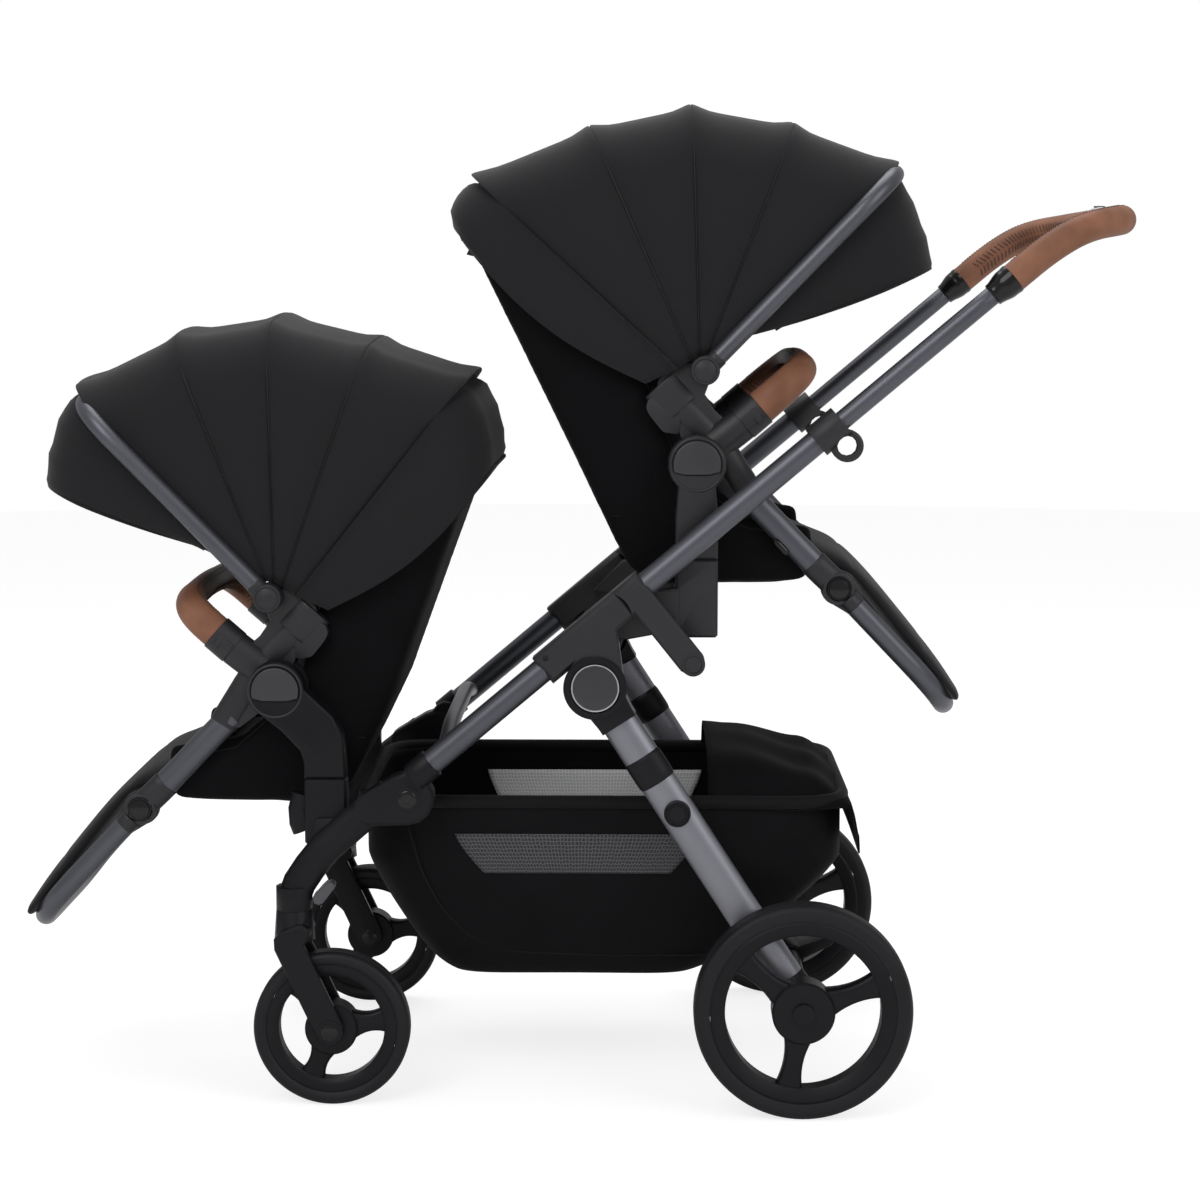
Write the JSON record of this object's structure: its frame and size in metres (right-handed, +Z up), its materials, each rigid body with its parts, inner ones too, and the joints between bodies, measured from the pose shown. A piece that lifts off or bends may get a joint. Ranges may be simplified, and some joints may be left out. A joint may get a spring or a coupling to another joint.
{
  "type": "convertible double stroller",
  "caption": "Tandem stroller with a folding hub frame, two facing seats with hoods, leg rests and bumper bars, swivel front wheels, a telescopic handle and a fabric basket.",
  "frame": {"origin": "On the ground below the middle of the whole outline.", "axes": "+Z up, the stroller drives towards -X, its left side is at -Y, and the push handle is at +X."},
  "size_m": [1.4364, 0.63, 1.2867],
  "materials": {
    "gunmetal": "gunmetal anodised tube",
    "black": "black moulded plastic",
    "cast": "black glass-filled plastic casting",
    "steel": "black painted steel",
    "tyre": "solid black tyre",
    "grey": "grey plastic",
    "silver": "pale silver plastic",
    "fabric": "black knitted fabric",
    "leather": "brown stitched leather",
    "bar": "brown leather over a bar"
  },
  "bodies": {
    "chassis": {"front_frame": "gunmetal", "basket_frame": "steel", "basket": "fabric", "hub_housing_left": "black", "hub_housing_right": "black", "front_leg_left": "cast", "front_leg_right": "cast", "upper_adapter_left": "black", "upper_adapter_right": "black", "lower_adapter_left": "black", "lower_adapter_right": "black"},
    "swivel_lock_left": {"swivel_lock_left": "grey"},
    "caster_left": {"caster_fork_left": "cast"},
    "front_wheel_left": {"front_tyre_left": "tyre", "front_rim_left": "black"},
    "swivel_lock_right": {"swivel_lock_right": "grey"},
    "caster_right": {"caster_fork_right": "cast"},
    "front_wheel_right": {"front_tyre_right": "tyre", "front_rim_right": "black"},
    "handle_frame": {"handle_tube_left": "gunmetal", "handle_tube_right": "gunmetal", "ring_clamp_left": "black", "ring_clamp_right": "black", "hinge_arm_left": "black", "hinge_arm_right": "black"},
    "push_handle": {"handle_bar": "gunmetal", "handle_grip": "leather"},
    "fold_trigger": {"fold_trigger": "silver"},
    "rear_legs": {"rear_leg_left": "gunmetal", "rear_leg_right": "gunmetal", "rear_axle": "steel"},
    "brake_pedal": {"brake_pedal": "black"},
    "rear_wheel_left": {"rear_tyre_left": "tyre", "rear_rim_left": "black"},
    "rear_wheel_right": {"rear_tyre_right": "tyre", "rear_rim_right": "black"},
    "upper_seat": {"upper_seat_frame": "gunmetal", "upper_seat_shell": "fabric", "upper_seat_pad": "fabric", "upper_hood_rear": "fabric"},
    "upper_bumper": {"upper_bumper_bar": "bar"},
    "upper_legrest": {"upper_legrest_frame": "gunmetal", "upper_legrest_pad": "fabric"},
    "upper_hood": {"upper_hood_front": "fabric", "upper_hood_bow": "gunmetal"},
    "upper_hood_mid": {"upper_hood_mid": "fabric"},
    "upper_button_left": {"upper_button_left": "black"},
    "upper_button_right": {"upper_button_right": "black"},
    "lower_seat": {"lower_seat_frame": "gunmetal", "lower_seat_shell": "fabric", "lower_seat_pad": "fabric", "lower_hood_rear": "fabric"},
    "lower_bumper": {"lower_bumper_bar": "bar"},
    "lower_legrest": {"lower_legrest_frame": "gunmetal", "lower_legrest_pad": "fabric"},
    "lower_hood": {"lower_hood_front": "fabric", "lower_hood_bow": "gunmetal"},
    "lower_hood_mid": {"lower_hood_mid": "fabric"},
    "lower_button_left": {"lower_button_left": "black"},
    "lower_button_right": {"lower_button_right": "black"}
  },
  "joints": [
    {"name": "handle_fold", "type": "hinge", "parent": "chassis", "child": "handle_frame", "pos_m": [0.04615, 0, 0.634], "axis": [0, -1, 0], "range_deg": [0, 100]},
    {"name": "rear_fold", "type": "hinge", "parent": "chassis", "child": "rear_legs", "pos_m": [0.03415, 0, 0.548], "axis": [0, 1, 0], "range_deg": [0, 30]},
    {"name": "handle_slide", "type": "slide", "parent": "handle_frame", "child": "push_handle", "axis": [0.7649, 0, 0.6441], "range_m": [-0.15, 0]},
    {"name": "fold_trigger_press", "type": "slide", "parent": "push_handle", "child": "fold_trigger", "axis": [0, 0, -1], "range_m": [0, 0.003], "stiffness_N_per_m": 400},
    {"name": "swivel_lock_left_turn", "type": "hinge", "parent": "chassis", "child": "swivel_lock_left", "pos_m": [-0.32105, -0.24, 0.27], "axis": [0, 1, 0], "range_deg": [0, 20]},
    {"name": "caster_left_swivel", "type": "hinge", "parent": "chassis", "child": "caster_left", "pos_m": [-0.35285, -0.24, 0.256], "axis": [0, 0, 1], "continuous": true},
    {"name": "front_wheel_left_spin", "type": "hinge", "parent": "caster_left", "child": "front_wheel_left", "pos_m": [-0.30585, -0.24, 0.101], "axis": [0, 1, 0], "continuous": true},
    {"name": "rear_wheel_left_spin", "type": "hinge", "parent": "rear_legs", "child": "rear_wheel_left", "pos_m": [0.29769, -0.29, 0.13906], "axis": [0, 1, 0], "continuous": true},
    {"name": "swivel_lock_right_turn", "type": "hinge", "parent": "chassis", "child": "swivel_lock_right", "pos_m": [-0.32105, 0.24, 0.27], "axis": [0, 1, 0], "range_deg": [0, 20]},
    {"name": "caster_right_swivel", "type": "hinge", "parent": "chassis", "child": "caster_right", "pos_m": [-0.35285, 0.24, 0.256], "axis": [0, 0, 1], "continuous": true},
    {"name": "front_wheel_right_spin", "type": "hinge", "parent": "caster_right", "child": "front_wheel_right", "pos_m": [-0.30585, 0.24, 0.101], "axis": [0, 1, 0], "continuous": true},
    {"name": "rear_wheel_right_spin", "type": "hinge", "parent": "rear_legs", "child": "rear_wheel_right", "pos_m": [0.29769, 0.29, 0.13906], "axis": [0, 1, 0], "continuous": true},
    {"name": "brake_pedal_press", "type": "hinge", "parent": "rear_legs", "child": "brake_pedal", "pos_m": [0.29769, 0, 0.13906], "axis": [0, 1, 0], "range_deg": [0, 15]},
    {"name": "upper_seat_tilt", "type": "hinge", "parent": "chassis", "child": "upper_seat", "pos_m": [0.16215, 0, 0.826], "axis": [0, -1, 0], "range_deg": [-10, 15]},
    {"name": "upper_legrest_turn", "type": "hinge", "parent": "upper_seat", "child": "upper_legrest", "pos_m": [0.34515, 0, 0.665], "axis": [0, -1, 0], "range_deg": [-20, 45]},
    {"name": "upper_hood_open", "type": "hinge", "parent": "upper_seat", "child": "upper_hood", "pos_m": [0.17215, 0, 0.944], "axis": [0, -1, 0], "range_deg": [0, 55]},
    {"name": "upper_hood_mid_open", "type": "hinge", "parent": "upper_seat", "child": "upper_hood_mid", "pos_m": [0.17215, 0, 0.944], "axis": [0, -1, 0], "range_deg": [0, 27.5]},
    {"name": "upper_bumper_slide", "type": "slide", "parent": "upper_seat", "child": "upper_bumper", "axis": [0.765, 0, 0.644], "range_m": [0, 0.03]},
    {"name": "upper_button_left_press", "type": "slide", "parent": "chassis", "child": "upper_button_left", "axis": [0, 1, 0], "range_m": [0, 0.003], "stiffness_N_per_m": 400},
    {"name": "upper_button_right_press", "type": "slide", "parent": "chassis", "child": "upper_button_right", "axis": [0, -1, 0], "range_m": [0, 0.003], "stiffness_N_per_m": 400},
    {"name": "lower_seat_tilt", "type": "hinge", "parent": "chassis", "child": "lower_seat", "pos_m": [-0.37585, 0, 0.536], "axis": [0, 1, 0], "range_deg": [-10, 8]},
    {"name": "lower_legrest_turn", "type": "hinge", "parent": "lower_seat", "child": "lower_legrest", "pos_m": [-0.55885, 0, 0.375], "axis": [0, 1, 0], "range_deg": [-20, 45]},
    {"name": "lower_hood_open", "type": "hinge", "parent": "lower_seat", "child": "lower_hood", "pos_m": [-0.38585, 0, 0.654], "axis": [0, 1, 0], "range_deg": [0, 55]},
    {"name": "lower_hood_mid_open", "type": "hinge", "parent": "lower_seat", "child": "lower_hood_mid", "pos_m": [-0.38585, 0, 0.654], "axis": [0, 1, 0], "range_deg": [0, 27.5]},
    {"name": "lower_bumper_slide", "type": "slide", "parent": "lower_seat", "child": "lower_bumper", "axis": [-0.765, 0, 0.644], "range_m": [0, 0.03]},
    {"name": "lower_button_left_press", "type": "slide", "parent": "chassis", "child": "lower_button_left", "axis": [0, 1, 0], "range_m": [0, 0.003], "stiffness_N_per_m": 400},
    {"name": "lower_button_right_press", "type": "slide", "parent": "chassis", "child": "lower_button_right", "axis": [0, -1, 0], "range_m": [0, 0.003], "stiffness_N_per_m": 400}
  ],
  "couplings": [
    {"joint": "rear_fold", "follows": "handle_fold", "ratio": 0.3},
    {"joint": "upper_hood_mid_open", "follows": "upper_hood_open", "ratio": 0.5},
    {"joint": "lower_hood_mid_open", "follows": "lower_hood_open", "ratio": 0.5}
  ]
}
